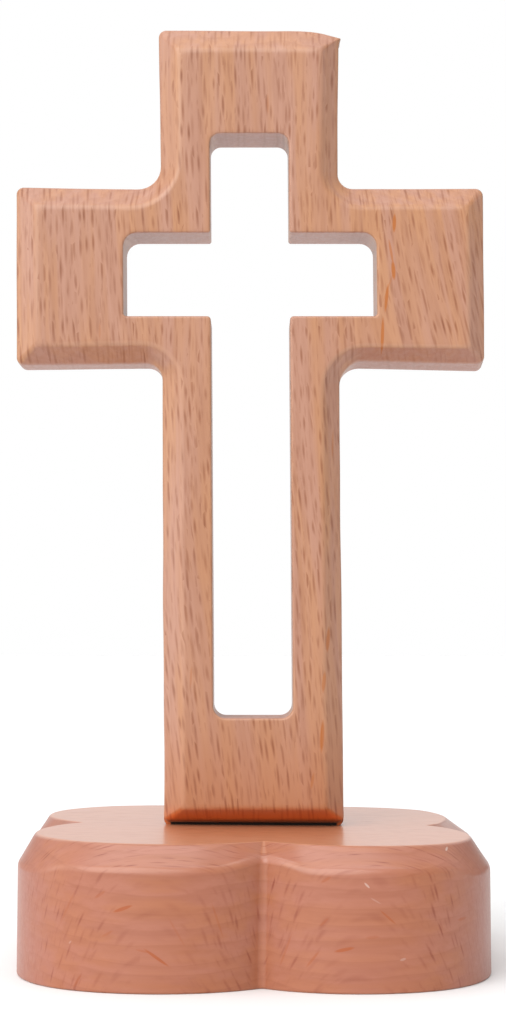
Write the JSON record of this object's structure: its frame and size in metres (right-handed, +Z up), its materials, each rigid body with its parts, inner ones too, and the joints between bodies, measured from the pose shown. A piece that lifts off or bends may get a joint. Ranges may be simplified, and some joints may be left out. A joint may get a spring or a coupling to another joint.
{
  "type": "table-top standing cross",
  "caption": "Openwork Latin cross routed from one beech board, standing upright on a bevelled, four-lobed solid beech base.",
  "frame": {"origin": "middle of the base's underside, on the surface the object stands on", "axes": "+Z up along the upright of the cross, +X to the right along its arms, -Y towards the front"},
  "size_m": [0.101, 0.0974, 0.2],
  "materials": {
    "beech_cross": "steamed beech, grain upright, satin clear lacquer",
    "beech_base": "steamed beech, grain front to back, satin clear lacquer",
    "beech_dowel": "plain unfinished beech",
    "zinc_plated_steel": "bright zinc plating"
  },
  "bodies": {
    "root": {"cross_frame": "beech_cross", "base": "beech_base", "dowel_left": "beech_dowel", "dowel_right": "beech_dowel", "wood_screw": "zinc_plated_steel"}
  },
  "joints": []
}
